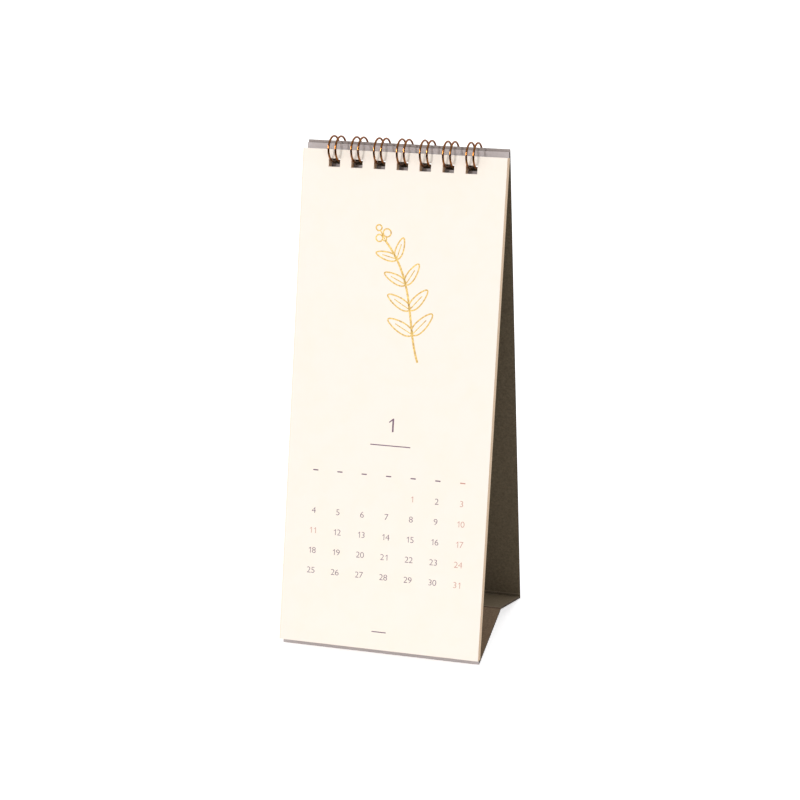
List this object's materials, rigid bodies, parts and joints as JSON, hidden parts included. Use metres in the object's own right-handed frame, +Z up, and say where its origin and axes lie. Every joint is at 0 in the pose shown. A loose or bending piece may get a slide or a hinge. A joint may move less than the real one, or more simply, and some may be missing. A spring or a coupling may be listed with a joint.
{
  "type": "desk calendar",
  "caption": "Tall wire-bound desk calendar: paper month leaves turn over a twin loop wire on a tent stand of folded card with a raised base.",
  "frame": {"origin": "on the table, under the middle of the whole object's outline", "axes": "+X to the right as the leaves are read, -Y the way the leaves face, +Z up"},
  "size_m": [0.0756, 0.072, 0.1853],
  "materials": {
    "card": "matt unprinted grey board",
    "leaf_paper": "uncoated cream paper, thick stock",
    "wire": "bronze coloured coating, semi gloss"
  },
  "bodies": {
    "stand": {"front_panel": "card", "twin_loop_wire": "wire"},
    "back_panel": {"back_panel": "card"},
    "base_front": {"base_front": "card"},
    "base_rear": {"base_rear": "card"},
    "month_leaf_01": {"month_leaf_01": "leaf_paper"},
    "month_leaf_02": {"month_leaf_02": "leaf_paper"},
    "month_leaf_03": {"month_leaf_03": "leaf_paper"},
    "month_leaf_04": {"month_leaf_04": "leaf_paper"},
    "month_leaf_05": {"month_leaf_05": "leaf_paper"},
    "month_leaf_06": {"month_leaf_06": "leaf_paper"},
    "month_leaf_07": {"month_leaf_07": "leaf_paper"},
    "month_leaf_08": {"month_leaf_08": "leaf_paper"},
    "month_leaf_09": {"month_leaf_09": "leaf_paper"},
    "month_leaf_10": {"month_leaf_10": "leaf_paper"},
    "month_leaf_11": {"month_leaf_11": "leaf_paper"},
    "month_leaf_12": {"month_leaf_12": "leaf_paper"}
  },
  "joints": [
    {"name": "base_lift", "type": "hinge", "parent": "stand", "child": "base_front", "pos_m": [0, -0.03029, 0.00103], "axis": [1, 0, 0], "range_deg": [0, 16]},
    {"name": "base_crease", "type": "hinge", "parent": "base_front", "child": "base_rear", "pos_m": [0, 0.00228, 0.0085], "axis": [-1, 0, 0], "range_deg": [0, 33.93]},
    {"name": "panel_close", "type": "hinge", "parent": "stand", "child": "back_panel", "pos_m": [0, 0.00573, 0.17787], "axis": [-1, 0, 0], "range_deg": [0, 1.93]},
    {"name": "leaf_01_turn", "type": "hinge", "parent": "stand", "child": "month_leaf_01", "pos_m": [0, 0.00005, 0.18049], "axis": [-1, 0, 0], "range_deg": [0, 205]},
    {"name": "leaf_02_turn", "type": "hinge", "parent": "stand", "child": "month_leaf_02", "pos_m": [0, 0.00005, 0.18049], "axis": [-1, 0, 0], "range_deg": [0, 202.49]},
    {"name": "leaf_03_turn", "type": "hinge", "parent": "stand", "child": "month_leaf_03", "pos_m": [0, 0.00005, 0.18049], "axis": [-1, 0, 0], "range_deg": [0, 199.93]},
    {"name": "leaf_04_turn", "type": "hinge", "parent": "stand", "child": "month_leaf_04", "pos_m": [0, 0.00005, 0.18049], "axis": [-1, 0, 0], "range_deg": [0, 197.36]},
    {"name": "leaf_05_turn", "type": "hinge", "parent": "stand", "child": "month_leaf_05", "pos_m": [0, 0.00005, 0.18049], "axis": [-1, 0, 0], "range_deg": [0, 194.8]},
    {"name": "leaf_06_turn", "type": "hinge", "parent": "stand", "child": "month_leaf_06", "pos_m": [0, 0.00005, 0.18049], "axis": [-1, 0, 0], "range_deg": [0, 192.24]},
    {"name": "leaf_07_turn", "type": "hinge", "parent": "stand", "child": "month_leaf_07", "pos_m": [0, 0.00005, 0.18049], "axis": [-1, 0, 0], "range_deg": [0, 189.68]},
    {"name": "leaf_08_turn", "type": "hinge", "parent": "stand", "child": "month_leaf_08", "pos_m": [0, 0.00005, 0.18049], "axis": [-1, 0, 0], "range_deg": [0, 187.11]},
    {"name": "leaf_09_turn", "type": "hinge", "parent": "stand", "child": "month_leaf_09", "pos_m": [0, 0.00005, 0.18049], "axis": [-1, 0, 0], "range_deg": [0, 184.55]},
    {"name": "leaf_10_turn", "type": "hinge", "parent": "stand", "child": "month_leaf_10", "pos_m": [0, 0.00005, 0.18049], "axis": [-1, 0, 0], "range_deg": [0, 181.99]},
    {"name": "leaf_11_turn", "type": "hinge", "parent": "stand", "child": "month_leaf_11", "pos_m": [0, 0.00005, 0.18049], "axis": [-1, 0, 0], "range_deg": [0, 179.43]},
    {"name": "leaf_12_turn", "type": "hinge", "parent": "stand", "child": "month_leaf_12", "pos_m": [0, 0.00005, 0.18049], "axis": [-1, 0, 0], "range_deg": [0, 176.86]}
  ],
  "couplings": [
    {"joint": "base_crease", "follows": "base_lift", "ratio": 2.12},
    {"joint": "panel_close", "follows": "base_lift", "ratio": 0.12},
    {"joint": "leaf_02_turn", "follows": "leaf_01_turn", "ratio": 0.9875},
    {"joint": "leaf_03_turn", "follows": "leaf_01_turn", "ratio": 0.975},
    {"joint": "leaf_04_turn", "follows": "leaf_01_turn", "ratio": 0.9625},
    {"joint": "leaf_05_turn", "follows": "leaf_01_turn", "ratio": 0.95},
    {"joint": "leaf_06_turn", "follows": "leaf_01_turn", "ratio": 0.9375},
    {"joint": "leaf_07_turn", "follows": "leaf_01_turn", "ratio": 0.925},
    {"joint": "leaf_08_turn", "follows": "leaf_01_turn", "ratio": 0.9125},
    {"joint": "leaf_09_turn", "follows": "leaf_01_turn", "ratio": 0.9},
    {"joint": "leaf_10_turn", "follows": "leaf_01_turn", "ratio": 0.8875},
    {"joint": "leaf_11_turn", "follows": "leaf_01_turn", "ratio": 0.875},
    {"joint": "leaf_12_turn", "follows": "leaf_01_turn", "ratio": 0.8625}
  ]
}
